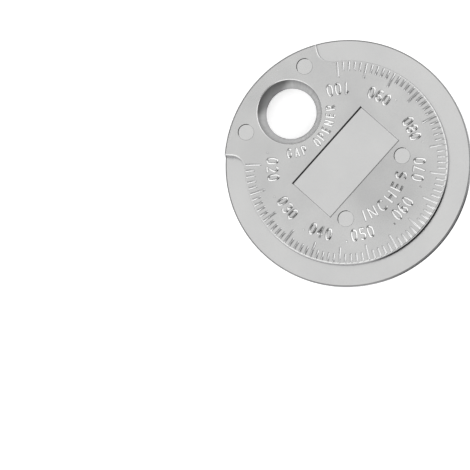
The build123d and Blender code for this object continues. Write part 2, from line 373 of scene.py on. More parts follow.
def satin_plate(finish):
    """Satin nickel-chrome plate on a zinc die casting: an even, slightly soft grey shine."""
    material = bpy.data.materials.get("satin_nickel_chrome_plate")
    if material:
        return material
    material = bpy.data.materials.new("satin_nickel_chrome_plate")
    material.use_nodes = True
    tree = material.node_tree
    shader = tree.nodes["Principled BSDF"]
    shader.inputs["Metallic"].default_value = 1
    place = add_node(tree, "ShaderNodeTexCoord")
    blotches = add_node(
        tree,
        "ShaderNodeTexNoise",
        {"Vector": place.outputs["Object"], "Scale": pattern_scale(blotch_size), "Detail": 3},
    )
    tone = add_node(
        tree,
        "ShaderNodeMix",
        {0: blotches.outputs["Fac"], 6: (*finish.plate_shade, 1), 7: (*finish.plate, 1)},
        data_type="RGBA",
        name="tone",
    )
    # Steep walls take a darker colour than what faces up or down: painted shade
    facing = add_node(tree, "ShaderNodeSeparateXYZ", {0: place.outputs["Normal"]})
    flatness = add_node(tree, "ShaderNodeMath", {0: facing.outputs["Z"]}, operation="ABSOLUTE")
    reached = add_node(
        tree,
        "ShaderNodeMapRange",
        {0: flatness.outputs[0], 1: full_wall_shade_flatness, 2: no_wall_shade_flatness},
        interpolation_type="SMOOTHSTEP",
        name="reached",
    )
    # A round patch of the front face, a little darker than the rest
    over_darker_patch = add_node(
        tree,
        "ShaderNodeMapping",
        {
            "Vector": place.outputs["Object"],
            "Location": [-part / darker_patch_radius for part in darker_patch_place],
            "Scale": [1 / (darker_patch_radius * MM)] * 3,
        },
    )
    haze = add_node(tree, "ShaderNodeTexGradient", {0: over_darker_patch.outputs[0]}, gradient_type="SPHERICAL")
    faded = add_node(
        tree,
        "ShaderNodeMapRange",
        {0: haze.outputs["Fac"], 2: darker_patch_fade, 4: darker_patch_strength},
        interpolation_type="SMOOTHSTEP",
        name="faded",
    )
    patched = add_node(
        tree,
        "ShaderNodeMix",
        {0: faded.outputs[0], 6: tone.outputs[2], 7: (*finish.haze, 1)},
        data_type="RGBA",
    )
    skin = add_node(
        tree,
        "ShaderNodeMix",
        {0: reached.outputs[0], 6: (*finish.wall, 1), 7: patched.outputs[2]},
        data_type="RGBA",
        name="skin",
    )
    tree.links.new(skin.outputs[2], shader.inputs["Base Color"])
    # Painted shade on the shine: steep walls that face along the gauge get a dark tint on their shine, those
    # that face across keep it
    lengthwise = add_node(tree, "ShaderNodeMath", {0: facing.outputs["Y"]}, operation="ABSOLUTE")
    crosswise = add_node(
        tree,
        "ShaderNodeMapRange",
        {0: lengthwise.outputs[0], 1: lengthwise_full_shade, 2: lengthwise_no_shade},
        interpolation_type="SMOOTHSTEP",
    )
    unshaded = add_node(
        tree,
        "ShaderNodeMath",
        {0: reached.outputs[0], 1: crosswise.outputs[0]},
        operation="MAXIMUM",
        name="unshaded",
    )
    glance = add_node(
        tree,
        "ShaderNodeMix",
        {0: unshaded.outputs[0], 6: (*finish.wall_glance, 1), 7: (1, 1, 1, 1)},
        data_type="RGBA",
        name="glance",
    )
    tree.links.new(glance.outputs[2], shader.inputs["Specular Tint"])
    gloss = add_node(
        tree,
        "ShaderNodeTexNoise",
        {"Vector": place.outputs["Object"], "Scale": pattern_scale(gloss_patch_size), "Detail": 4},
    )
    smoothest, roughest = satin_roughness
    roughness = add_node(
        tree, "ShaderNodeMapRange", {0: gloss.outputs["Fac"], 3: smoothest, 4: roughest}, name="roughness"
    )
    tree.links.new(roughness.outputs[0], shader.inputs["Roughness"])
    grain = add_node(
        tree,
        "ShaderNodeTexNoise",
        {"Vector": place.outputs["Object"], "Scale": pattern_scale(grain_size), "Detail": 4},
    )
    bump = add_node(
        tree,
        "ShaderNodeBump",
        {"Height": grain.outputs["Fac"], "Strength": grain_strength, "Distance": bump_depth},
        name="bump",
    )
    tree.links.new(bump.outputs[0], shader.inputs["Normal"])
    return material


def plate_variant(finish, name, bright, dull, reach, rough):
    """The satin plate without its darker patch, with its own tones, reach of the walls' painted shade and
    roughness.
    """
    material = satin_plate(finish).copy()
    material.name = name
    nodes = material.node_tree.nodes
    nodes["tone"].inputs[6].default_value = (*dull, 1)
    nodes["tone"].inputs[7].default_value = (*bright, 1)
    nodes["faded"].inputs[4].default_value = 0
    nodes["reached"].inputs[2].default_value = reach
    for socket, value in zip((3, 4), rough):
        nodes["roughness"].inputs[socket].default_value = value
    return material


def rubbed_plate(finish):
    """The same plate on the rim and in the panel, a little brighter and smoother."""
    return plate_variant(
        finish,
        "rubbed_nickel_chrome_plate",
        finish.rubbed,
        finish.rubbed_shade,
        reach=no_wall_shade_flatness,
        rough=(0.18, 0.26),
    )


def mark_plate_painted_shade(finish):
    """The same plate on the scales' marks: bright, with painted shade on the steep sides of those that run
    across.
    """
    material = plate_variant(
        finish,
        "mark_nickel_chrome_painted_shade",
        finish.mark,
        finish.mark_shade,
        reach=0.95,
        rough=(0.18, 0.26),
    )
    tree = material.node_tree
    # Painted shade: the steep sides of the marks that run across take the dark wall colour
    tree.links.new(tree.nodes["unshaded"].outputs[0], tree.nodes["skin"].inputs[0])
    tree.nodes["skin"].inputs[6].default_value = (*finish.mark_wall, 1)
    return material


def disc_edge_painted_shade_plate(finish):
    """The same plate on the disc's rounded edge, rougher and darker: painted shade that draws a dark line
    round the disc.
    """
    material = plate_variant(
        finish,
        "disc_edge_nickel_chrome_painted_shade",
        finish.edge,
        finish.edge_shade,
        reach=0.95,
        rough=(0.3, 0.4),
    )
    material.node_tree.nodes["skin"].inputs[6].default_value = (*finish.edge_wall, 1)
    material.node_tree.nodes["glance"].inputs[6].default_value = (*finish.edge_glance, 1)
    return material


def recess_wall_painted_shade_plate(finish):
    """The same plate on the walls of the sunk places on the side towards the hole: painted shade, dark and a
    little rougher.
    """
    return plate_variant(
        finish,
        "recess_wall_nickel_chrome_painted_shade",
        finish.recess,
        finish.recess_shade,
        reach=0.4,
        rough=(0.25, 0.35),
    )


def tab_edge_painted_shade_plate(finish):
    """The same plate over the rounded outer edge of the tab, darker and rougher: a line of painted shade."""
    return plate_variant(
        finish,
        "tab_edge_nickel_chrome_painted_shade",
        finish.cut,
        finish.cut_shade,
        reach=0.6,
        rough=(0.25, 0.35),
    )


def turned_plate(finish, hole_centre):
    """The same plate on the hole's cone: darker as painted shade and rougher, with rings round it and faint
    streaks across them.

    The side towards the tab's outer edge is darker still: painted shade.
    """
    material = plate_variant(
        finish,
        "turned_nickel_chrome_plate",
        finish.cone,
        finish.cone_shade,
        reach=0.4,
        rough=(0.3, 0.45),
    )
    tree = material.node_tree
    place = add_node(tree, "ShaderNodeTexCoord")
    centred = add_node(
        tree,
        "ShaderNodeMapping",
        {"Vector": place.outputs["Object"], "Location": (0, -hole_centre * MM, 0)},
    )
    around = add_node(tree, "ShaderNodeTexGradient", {0: centred.outputs[0]}, gradient_type="RADIAL")
    streaks = add_node(
        tree,
        "ShaderNodeTexNoise",
        {"W": around.outputs["Fac"], "Scale": streaks_round, "Detail": 3},
        noise_dimensions="1D",
    )
    tree.links.new(streaks.outputs["Fac"], tree.nodes["tone"].inputs[0])
    # Painted shade: darker towards the tab's outer edge
    side = add_node(tree, "ShaderNodeSeparateXYZ", {0: centred.outputs[0]})
    darkened = add_node(
        tree,
        "ShaderNodeMapRange",
        {0: side.outputs["Y"], 1: cone_darkens * MM, 2: cone_darkest * MM},
        interpolation_type="SMOOTHSTEP",
    )
    toned = add_node(
        tree,
        "ShaderNodeMix",
        {0: darkened.outputs[0], 6: tree.nodes["tone"].outputs[2], 7: (*finish.cone_dark, 1)},
        data_type="RGBA",
    )
    tree.links.new(toned.outputs[2], tree.nodes["skin"].inputs[7])
    rings = add_node(
        tree,
        "ShaderNodeTexWave",
        {"Vector": centred.outputs[0], "Scale": pattern_scale(ring_pattern_size), "Distortion": 0.5},
        wave_type="RINGS",
        rings_direction="Z",
    )
    bump = add_node(
        tree,
        "ShaderNodeBump",
        {
            "Height": rings.outputs["Fac"],
            "Strength": ring_strength,
            "Distance": bump_depth,
            "Normal": tree.nodes["bump"].outputs[0],
        },
    )
    tree.links.new(bump.outputs[0], tree.nodes["Principled BSDF"].inputs["Normal"])
    return material


# Strokes of each character, as chains of points. They lie on a grid where the middle of a stroke along
# the character's edge is at 1, so free ends run on past 1 to that stroke's far side. Longer chains are
# the control points of smooth curves.
oval = [
    (1, 0), (1, 0.55), (0.4, 1), (-0.4, 1), (-1, 0.55), (-1, -0.55), (-0.4, -1), (0.4, -1), (1, -0.55), (1, 0)
]
strokes = {
    ".": [[(-0.37, -1), (0.37, -1)]],
    "0": [oval],
    "1": [[(-0.9, 0.45), (0.1, 1)], [(0.1, 1.18), (0.1, -1.18)]],
    "2": [
        [(-1, 0.6), (-0.45, 1), (0.45, 1), (1, 0.6), (1, 0.3), (-0.8, -0.85)],
        [(-1.3, -1), (1.3, -1)],
    ],
    "3": [
        [(-1, 0.7), (-0.45, 1), (0.4, 1), (0.9, 0.7), (0.9, 0.3), (0.4, 0.03), (-0.4, 0.03)],
        [(0.35, 0.03), (1, -0.3), (1, -0.65), (0.45, -1), (-0.45, -1), (-1, -0.65)],
    ],
    "4": [[(0.4, 1.18), (0.4, -1.18)], [(0.3, 1), (-1, -0.35)], [(-1.3, -0.4), (1.3, -0.4)]],
    "5": [
        [(-0.8, 0), (-0.8, 1.18)],
        [(-0.8, 1), (1.2, 1)],
        [(-0.8, 0.15), (0.4, 0.15), (1, -0.15), (1, -0.6), (0.45, -1), (-0.4, -1), (-1, -0.7)],
    ],
    "6": [
        [(0, 0.12), (0.45, 0.12), (1, -0.2), (1, -0.65), (0.45, -1), (-0.45, -1), (-1, -0.65), (-1, -0.2),
         (-0.45, 0.12), (0, 0.12)],
        [(-1, -0.4), (-1, 0.45), (-0.35, 1), (0.45, 1), (1, 0.65)],
    ],
    "7": [[(-1.3, 1), (1.3, 1)], [(0.95, 1), (-0.3, -1.18)]],
    "8": [
        [(0, 1), (0.4, 1), (0.85, 0.72), (0.85, 0.3), (0.4, 0.03), (-0.4, 0.03), (-0.85, 0.3), (-0.85, 0.72),
         (-0.4, 1), (0, 1)],
        [(0, -1), (0.45, -1), (1, -0.65), (1, -0.3), (0.45, 0.03), (-0.45, 0.03), (-1, -0.3), (-1, -0.65),
         (-0.45, -1), (0, -1)],
    ],
    "9": [
        [(0, -0.12), (-0.45, -0.12), (-1, 0.2), (-1, 0.65), (-0.45, 1), (0.45, 1), (1, 0.65), (1, 0.2),
         (0.45, -0.12), (0, -0.12)],
        [(1, 0.4), (1, -0.45), (0.35, -1), (-0.45, -1), (-1, -0.65)],
    ],
    "A": [[(-1.1, -1.18), (0, 1.1)], [(0, 1.1), (1.1, -1.18)], [(-0.6, -0.4), (0.6, -0.4)]],
    "C": [
        [(1.1, 0.6), (0.45, 1), (-0.4, 1), (-1.1, 0.55), (-1.1, -0.55), (-0.4, -1), (0.45, -1), (1.1, -0.6)],
    ],
    "E": [
        [(-0.85, -1.18), (-0.85, 1.18)],
        [(-0.85, 1), (1, 1)],
        [(-0.85, 0), (0.9, 0)],
        [(-0.85, -1), (1, -1)],
    ],
    "G": [
        [(1, 0.6), (0.45, 1), (-0.4, 1), (-1, 0.55), (-1, -0.55), (-0.4, -1), (0.4, -1), (1, -0.55),
         (1, 0.15)],
        [(1, -0.03), (0.1, -0.03)],
    ],
    "H": [[(-1, -1.18), (-1, 1.18)], [(1, -1.18), (1, 1.18)], [(-1, 0), (1, 0)]],
    "I": [[(0, -1.18), (0, 1.18)]],
    "M": [[(-1, -1.18), (-1, 1.18)], [(-0.9, 1), (0, -0.4)], [(0, -0.4), (0.9, 1)], [(1, -1.18), (1, 1.18)]],
    "N": [[(-1, -1.18), (-1, 1.18)], [(-0.9, 1), (0.9, -1)], [(1, -1.18), (1, 1.18)]],
    "O": [oval],
    "P": [[(-1, -1.18), (-1, 1.18)], [(-1, 1), (0.4, 1), (1, 0.7), (1, 0.25), (0.4, -0.06), (-1, -0.06)]],
    "R": [
        [(-1, -1.18), (-1, 1.18)],
        [(-1, 1), (0.4, 1), (1, 0.7), (1, 0.25), (0.4, -0.06), (-1, -0.06)],
        [(0.1, -0.06), (1.1, -1.18)],
    ],
    "S": [
        [(1, 0.65), (0.45, 1), (-0.45, 1), (-0.95, 0.72), (-0.95, 0.35), (-0.4, 0.06), (0.4, -0.06),
         (1, -0.35), (1, -0.68), (0.45, -1), (-0.45, -1), (-1, -0.65)],
    ],
}

# Shares of the pitch that the narrow characters take
narrow_advance = {"I": 0.5, ".": 0.8}

# Degrees by which some numerals stand off the middle of their mark
numeral_shift = {
    ".020": 1.3, ".040": -1.7, ".050": -3.0, ".070": -1.25, ".080": -3.0, ".090": -0.4, "100": 1.1
}

# Scales of the two faces, gaps in millimetres
inch_numerals = (".020", ".030", ".040", ".050", ".060", ".070", ".080", ".090", "100")
inch_marks = 81
metric_numerals = ("0.5", "1.0", "1.5", "2.0", "2.5")
metric_first = 0.5
metric_last = 2.5
metric_marks = 41
marks_per_long_mark = 5

# Lengths in millimetres that only the modelling needs
end_taper = 0.07
mark_root = 0.06
rim_root = 0.5
panel_slope = 0.2
pin_slope = 0.1
cutter_lift = 0.05
hole_lift = 0.012
hole_flare = 0.06
level_margin = 0.01

# Distances in millimetres at which two vertices become one, in the casting and in a character
merge_distance = 0.001
fine_merge_distance = 0.0001

# Thickness of a stroke at its free ends, as a share of the rest
end_thickness = 0.55

# Degrees between two faces from which their shared edge stays sharp
crease_angle = 32

# Steps along each arc and slope
hub_steps = 200
tab_steps = 36
fillet_steps = 12
rim_steps = 240
rounding_steps = 4
lip_steps = 3
slope_steps = 6
mark_steps = 3
hole_steps = 128
pin_steps = 48
card_steps = 24

# Sizes of the plate's patterns in metres, and the number of streaks round the cone
blotch_size = 5 * MM
gloss_patch_size = 1.5 * MM
grain_size = 0.25 * MM
ring_pattern_size = 3 * MM
streaks_round = 70

# Depth in metres of the grain and of the cone's rings, their strengths, and the satin plate's roughness
bump_depth = 0.01 * MM
grain_strength = 0.25
ring_strength = 0.3
satin_roughness = (0.2, 0.3)

# Upright part of the surface's normal up to which the plate takes the walls' painted shade, and from which it
# takes its own tone
full_wall_shade_flatness = 0.1
no_wall_shade_flatness = 0.82

# Part of a steep wall's normal along the gauge from which its shine takes the full painted shade, and up to
# which it keeps its shine
lengthwise_full_shade = 0.93
lengthwise_no_shade = 0.8

# Millimetres from the hole's middle towards the tab's edge where the cone's painted shade starts and is
# darkest
cone_darkens = 2.5
cone_darkest = 3.5

# Middle and radius of the plate's darker patch in millimetres, the share of the way in at which it is full,
# and how much of the patch's tone it takes on
darker_patch_place = (1.5, -6.5, 4.15)
darker_patch_radius = 7.5
darker_patch_fade = 0.6
darker_patch_strength = 0.28

# Upright part of a face's normal above which a face of the hole belongs to its lip, and one that is sunk
# counts as level
cone_flatness = 0.55
level_flatness = 0.95

# Parts of the normal towards -Y and upwards above which a wall of a sunk place is one of the dark ones, with
# painted shade
dark_wall_turn = 0.2
dark_wall_lean = 0.1

# Plates of the casting, in the order of its material slots
SATIN, TURNED, DISC_EDGE_SHADE, RUBBED, RECESS_WALL_SHADE, TAB_EDGE_SHADE = range(6)

# The studio, in metres, degrees and watts
floor_size = 2
card_distance = 0.4
lamp_distance = 0.42
lamp_zenith = 44
lamp_width = 0.42
lamp_height = 0.2
lamp_power = 0.34

# Strength of the sheet's own glow, and colour of the dark cards
sheet_glow = 0.55
card_colour = "#242424"

# Direction where each dark card starts, its sweep, and the elevations of its lower and upper edge
cards = (("far_card", 62, 56, 36, 58), ("near_card", 244, 52, 34, 75))

# Direction of each lamp
lamps = (("left_lamp", 203), ("right_lamp", 337))

# Degrees by which the rim's ends reach into the tab, and by which a vertex may lie before the rim's start
rim_end_overlap = 0.5
rim_start_margin = 1


def model_character(symbol, width, height, sizes):
    """One character of half-round strokes with softened ends, centred on the origin, as a mesh."""
    half_width = (width - sizes.stroke) / 2
    half_height = (height - sizes.stroke) / 2
    solids = []
    for chain in strokes[symbol]:
        points = [Vector((x * half_width, y * half_height, 0)) for x, y in chain]
        closed = chain[0] == chain[-1]
        thickness = [1] * len(points)
        if closed:
            points.pop()
        else:
            start = points[0] + (points[1] - points[0]).normalized() * end_taper
            end = points[-1] + (points[-2] - points[-1]).normalized() * end_taper
            points = [points[0], start, *points[1:-1], end, points[-1]]
            thickness = [end_thickness, 1, *thickness[1:-1], 1, end_thickness]
        line = bpy.data.curves.new("stroke", "CURVE")
        line.dimensions = "3D"
        line.bevel_depth = sizes.stroke / 2
        line.bevel_resolution = 2
        line.use_fill_caps = True
        line.resolution_u = 4
        smooth = len(chain) > 2
        spline = line.splines.new("NURBS" if smooth else "POLY")
        spline.points.add(len(points) - 1)
        for place, point, radius in zip(spline.points, points, thickness):
            place.co = (*point, 1)
            place.radius = radius
        if smooth:
            spline.order_u = 3
            spline.use_cyclic_u = closed
            spline.use_endpoint_u = not closed
        tube = bpy.data.objects.new("stroke", line)
        solid = bmesh.new()
        solid.from_mesh(tube.to_mesh())
        bpy.data.objects.remove(tube)
        bpy.data.curves.remove(line)
        bmesh.ops.remove_doubles(solid, verts=solid.verts, dist=fine_merge_distance)
        bmesh.ops.scale(solid, vec=(1, 1, sizes.relief / (sizes.stroke / 2)), verts=solid.verts)
        bmesh.ops.recalc_face_normals(solid, faces=solid.faces)
        solids.append(solid)
    joined = boolean(solids[0], solids[1:], "UNION") if len(solids) > 1 else solids[0]
    mesh = bpy.data.meshes.new("character")
    joined.to_mesh(mesh)
    joined.free()
    return mesh


def add_text(bm, sizes, text, size, pitch, radius, middle_angle, centre=(0, 0)):
    """Adds characters along a circle, reading anticlockwise with their tops towards its centre."""
    characters = {symbol: model_character(symbol, *size, sizes) for symbol in sorted(set(text) - {" "})}
    advances = [pitch * narrow_advance.get(symbol, 1) for symbol in text]
    for index, symbol in enumerate(text):
        along = sum(advances[:index]) + advances[index] / 2 - sum(advances) / 2
        turned = middle_angle + degrees(along / radius)
        upright = Matrix.Rotation(radians(turned + 90), 4, "Z")
        place = Matrix.Translation(polar(radius, turned, centre)) @ upright
        if symbol in characters:
            add_copy(bm, characters[symbol], place)
    for mesh in characters.values():
        bpy.data.meshes.remove(mesh)


def mark_bar(sizes, bar_length, bar_angle):
    """One mark of a scale as a bar with rounded edges, its outer end just inside the hub's edge."""
    bm = bmesh.new()
    bmesh.ops.create_cube(bm, size=1)
    bmesh.ops.scale(bm, vec=(bar_length, sizes.mark_width, sizes.relief + mark_root), verts=bm.verts)
    outer_end = sizes.hub_radius - sizes.mark_setback
    middle = (outer_end - bar_length / 2, 0, (sizes.relief - mark_root) / 2)
    bmesh.ops.translate(bm, vec=middle, verts=bm.verts)
    shown = [edge for edge in bm.edges if max(vertex.co.z for vertex in edge.verts) > 0]
    bmesh.ops.bevel(
        bm,
        geom=shown,
        offset=sizes.mark_rounding,
        offset_type="OFFSET",
        segments=mark_steps,
        profile=0.5,
        affect="EDGES",
        material=-1,
    )
    bmesh.ops.rotate(bm, cent=(0, 0, 0), matrix=Matrix.Rotation(radians(bar_angle), 3, "Z"), verts=bm.verts)
    return bm


def repeat_round(bm, step, copies):
    """Repeats the whole of a bmesh round the disc's axis."""
    if copies:
        bmesh.ops.spin(
            bm,
            geom=whole_of(bm),
            cent=(0, 0, 0),
            axis=(0, 0, 1),
            angle=radians(step * copies),
            steps=copies,
            use_duplicate=True,
        )


def model_marks(sizes, first, last, count):
    """Marks at even angles inside the hub's edge, with a long one at every fifth."""
    step = (last - first) / (count - 1)
    groups = (count - 1) // marks_per_long_mark
    marks = mark_bar(sizes, sizes.short_mark, first + step)
    repeat_round(marks, step, marks_per_long_mark - 2)
    repeat_round(marks, step * marks_per_long_mark, groups - 1)
    long_marks = mark_bar(sizes, sizes.long_mark, first)
    repeat_round(long_marks, step * marks_per_long_mark, groups)
    mesh = bpy.data.meshes.new("long marks")
    long_marks.to_mesh(mesh)
    long_marks.free()
    add_copy(marks, mesh, Matrix.Identity(4))
    bpy.data.meshes.remove(mesh)
    return marks


def lay_on_front(bm, sizes):
    """Moves what was modelled round Z = 0 to the front face."""
    bmesh.ops.translate(bm, vec=(0, 0, sizes.middle_level + sizes.half_thickness), verts=bm.verts)


def lay_on_back(bm, sizes):
    """Turns what was modelled round Z = 0 over, and moves it to the back face."""
    bmesh.ops.rotate(bm, cent=(0, 0, 0), matrix=Matrix.Rotation(pi, 3, "Y"), verts=bm.verts)
    bmesh.ops.translate(bm, vec=(0, 0, sizes.middle_level - sizes.half_thickness), verts=bm.verts)


def gap_angle(sizes, gap):
    """Angle at which the rim is as thick as a gap."""
    share = (gap - sizes.thinnest_gap) / (sizes.thickest_gap - sizes.thinnest_gap)
    return sizes.first_angle + (sizes.last_angle - sizes.first_angle) * share


def model_hub(sizes):
    """Hub and tab, with drafted walls and rounded edges, round Z = 0."""
    wall_height = sizes.half_thickness - sizes.edge_rounding
    draft = tan(radians(sizes.hub_draft)) * wall_height
    parting_radius = sizes.hub_radius + draft
    fillet_distance = parting_radius + sizes.shoulder_fillet
    fillet_turn = degrees(asin(sizes.shoulder_fillet / fillet_distance))
    hub_start = sizes.low_shoulder + fillet_turn
    hub_end = sizes.high_shoulder - fillet_turn
    fillet_end = fillet_distance * cos(radians(fillet_turn))
    bm = bmesh.new()
    vertex = bm.verts.new(polar(parting_radius, hub_start))
    vertex = arc_from(bm, vertex, (0, 0, 0), hub_end - hub_start, hub_steps)
    vertex = arc_from(bm, vertex, polar(fillet_distance, hub_end), fillet_turn - 90, fillet_steps)
    vertex = line_from(bm, vertex, polar(sizes.disc_radius, sizes.high_shoulder))
    vertex = arc_from(bm, vertex, (0, 0, 0), sizes.low_shoulder + 360 - sizes.high_shoulder, tab_steps)
    vertex = line_from(bm, vertex, polar(fillet_end, sizes.low_shoulder))
    arc_from(bm, vertex, polar(fillet_distance, hub_start), fillet_turn - 90, fillet_steps)
    face = fill_outline(bm)
    terrace(bm, face, [(draft, wall_height), *rounding(sizes.edge_rounding, rounding_steps)])
    mirror_down(bm)
    close_shell(bm)
    return bm


def model_rim(sizes):
    """Gauging rim, a ring whose thickness grows with the angle, round Z = 0."""
    inner = sizes.hub_radius - rim_root
    outer = sizes.disc_radius
    edge = sizes.rim_rounding
    bm = bmesh.new()
    first = bm.verts.new((inner, 0, 1))
    vertex = line_from(bm, first, (outer - edge, 0, 1))
    vertex = arc_from(bm, vertex, (outer - edge, 0, 1 - edge), 90, rounding_steps, axis=(0, 1, 0))
    vertex = line_from(bm, vertex, (outer, 0, edge - 1))
    vertex = arc_from(bm, vertex, (outer - edge, 0, edge - 1), 90, rounding_steps, axis=(0, 1, 0))
    vertex = line_from(bm, vertex, (inner, 0, -1))
    line_from(bm, vertex, first.co)
    bmesh.ops.remove_doubles(bm, verts=bm.verts, dist=merge_distance)
    start = sizes.low_shoulder - rim_end_overlap
    end = sizes.high_shoulder + rim_end_overlap
    bmesh.ops.rotate(bm, cent=(0, 0, 0), matrix=Matrix.Rotation(radians(start), 3, "Z"), verts=bm.verts)
    bmesh.ops.spin(
        bm,
        geom=bm.verts[:] + bm.edges[:],
        cent=(0, 0, 0),
        axis=(0, 0, 1),
        angle=radians(end - start),
        steps=rim_steps,
    )
    for vertex in bm.verts:
        past_start = degrees(atan2(vertex.co.y, vertex.co.x)) - start + rim_start_margin
        around = past_start % 360 + start - rim_start_margin
        share = (around - sizes.first_angle) / (sizes.last_angle - sizes.first_angle)
        half = (sizes.thinnest_gap + (sizes.thickest_gap - sizes.thinnest_gap) * share) / 2
        below_top = 1 - abs(vertex.co.z)
        vertex.co.z = half - below_top if vertex.co.z > 0 else below_top - half
    close_shell(bm)
    return bm


def soft_step(run, drop, steps):
    """Steps that lead down through a drop in an S-shaped slope."""
    shares = [(1 - cos(pi * index / steps)) / 2 for index in range(steps + 1)]
    return [(run / steps, -drop * (lower - upper)) for upper, lower in zip(shares, shares[1:])]


def model_recess(outline, run, drop, sizes):
    """Turns an outline into a cutter that sinks it into the front face, with sloping walls."""
    face = outline.faces[:][0]
    lift = (0, 0, sizes.half_thickness + cutter_lift)
    bmesh.ops.translate(outline, vec=lift, verts=outline.verts)
    terrace(outline, face, [(0, -cutter_lift), *soft_step(run, drop, slope_steps)])
    close_shell(outline)
    return outline


def model_hole(sizes):
    """Cutter for the hole and the countersinks of both faces, with rounded lips."""
    drop = sizes.half_thickness - sizes.hole_land / 2
    run = sizes.countersink_radius - sizes.hole_radius
    slope = degrees(atan2(drop, run))
    lip = sizes.lip_rounding
    reach = lip * tan(radians(slope / 2))
    steps = [(hole_flare, -hole_lift)]
    turns = [radians(slope) * index / lip_steps for index in range(lip_steps + 1)]
    steps += [(lip * (sin(b) - sin(a)), -lip * (cos(a) - cos(b))) for a, b in zip(turns, turns[1:])]
    sunk = lip * (1 - cos(radians(slope)))
    inwards = lip * sin(radians(slope)) - reach
    steps += [(run - inwards, -(drop - sunk)), (0, -sizes.hole_land / 2)]
    bm = bmesh.new()
    radius = sizes.countersink_radius + reach + hole_flare
    bmesh.ops.create_circle(bm, cap_ends=True, radius=radius, segments=hole_steps)
    bmesh.ops.translate(bm, vec=(0, 0, sizes.half_thickness + hole_lift), verts=bm.verts)
    face = bm.faces[:][0]
    terrace(bm, face, steps)
    bmesh.ops.delete(bm, geom=[face], context="FACES_ONLY")
    mirror_down(bm)
    close_shell(bm)
    bmesh.ops.translate(bm, vec=(0, sizes.hole_centre, 0), verts=bm.verts)
    return bm


def pin_places(sizes):
    """Centres of the four shallow round marks of the front face, called pin marks here."""
    pairs = (
        (sizes.tab_pin_radius, 90, sizes.tab_pin_turn),
        (sizes.scale_pin_radius, sizes.scale_middle, sizes.scale_pin_turn),
    )
    return [polar(radius, middle + side * turn) for radius, middle, turn in pairs for side in (-1, 1)]


def over_recess(point, sizes):
    """Whether a point is over the panel or over a pin mark, with their slopes."""
    over_panel = (
        abs(point.x) < sizes.panel_width / 2 + panel_slope
        and abs(point.y) < sizes.panel_height / 2 + panel_slope
    )
    reach = sizes.pin_mark_radius + pin_slope
    return over_panel or any((point.xy - place.xy).length < reach for place in pin_places(sizes))


def plate_number(face, sizes):
    """Material slot of the plate on a face of the casting."""
    centre = face.center / MM
    off_middle = abs(centre.z - sizes.middle_level)
    off_hole = (centre.xy - Vector((0, sizes.hole_centre))).length
    off_edge = sizes.disc_radius - centre.xy.length
    sunk = off_middle < sizes.half_thickness - sizes.pin_mark_depth + level_margin
    if off_hole < sizes.countersink_radius + sizes.lip_rounding:
        return RUBBED if abs(face.normal.z) > cone_flatness else TURNED
    # Painted shade on the tab's rounded outer edge and on the rounded edge round the disc
    if off_edge < sizes.edge_rounding and off_middle > sizes.half_thickness - sizes.edge_rounding:
        return TAB_EDGE_SHADE
    if off_edge < sizes.rim_rounding:
        return DISC_EDGE_SHADE
    if sunk and abs(face.normal.z) > level_flatness:
        return RUBBED
    # Painted shade on the walls of the sunk places on the side towards the hole
    if face.normal.y < -dark_wall_turn and face.normal.z > dark_wall_lean and over_recess(centre, sizes):
        return RECESS_WALL_SHADE
    return SATIN


class GAUGE_OT_casting(bpy.types.Operator):
    """Models the casting: hub, tab, rim, hole, panel and pin marks"""

    bl_idname = "gauge.casting"
    bl_label = "Casting"

    def execute(self, context):
        sizes = modelling_sizes(context)
        finish = context.scene.gauge_finish
        body = boolean(model_hub(sizes), [model_rim(sizes)], "UNION")
        cutters = [model_hole(sizes)]
        panel = bmesh.new()
        bmesh.ops.create_grid(panel, x_segments=1, y_segments=1, size=0.5)
        panel_size = (sizes.panel_width + panel_slope, sizes.panel_height + panel_slope, 1)
        bmesh.ops.scale(panel, vec=panel_size, verts=panel.verts)
        cutters.append(model_recess(panel, panel_slope, sizes.panel_depth, sizes))
        for place in pin_places(sizes):
            pin = bmesh.new()
            radius = sizes.pin_mark_radius + pin_slope / 2
            bmesh.ops.create_circle(pin, cap_ends=True, radius=radius, segments=pin_steps)
            bmesh.ops.translate(pin, vec=place, verts=pin.verts)
            cutters.append(model_recess(pin, pin_slope, sizes.pin_mark_depth, sizes))
        body = boolean(body, cutters, "DIFFERENCE")
        bmesh.ops.translate(body, vec=(0, 0, sizes.middle_level), verts=body.verts)
        piece = finish_piece(body, "casting", satin_plate(finish))
        others = (
            turned_plate(finish, sizes.hole_centre),
            disc_edge_painted_shade_plate(finish),
            rubbed_plate(finish),
            recess_wall_painted_shade_plate(finish),
            tab_edge_painted_shade_plate(finish),
        )
        for material in others:
            piece.data.materials.append(material)
        for face in piece.data.polygons:
            face.material_index = plate_number(face, sizes)
        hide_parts("gauge_disc")
        return {"FINISHED"}


class GAUGE_OT_inch_scale(bpy.types.Operator):
    """Models the inch marks and their numerals"""

    bl_idname = "gauge.inch_scale"
    bl_label = "Inch scale"

    def execute(self, context):
        sizes = modelling_sizes(context)
        finish = context.scene.gauge_finish
        marks = model_marks(sizes, sizes.first_angle, sizes.last_angle, inch_marks)
        lay_on_front(marks, sizes)
        finish_piece(marks, "inch_marks", mark_plate_painted_shade(finish))
        numerals = bmesh.new()
        size = (sizes.numeral_width, sizes.numeral_height)
        for text in inch_numerals:
            gap = float(text.replace("100", "0.100")) * INCH / MM
            middle = gap_angle(sizes, gap) + numeral_shift.get(text, 0)
            add_text(numerals, sizes, text, size, sizes.numeral_pitch, sizes.numeral_radius, middle)
        lay_on_front(numerals, sizes)
        finish_piece(numerals, "inch_numerals", satin_plate(finish))
        return {"FINISHED"}


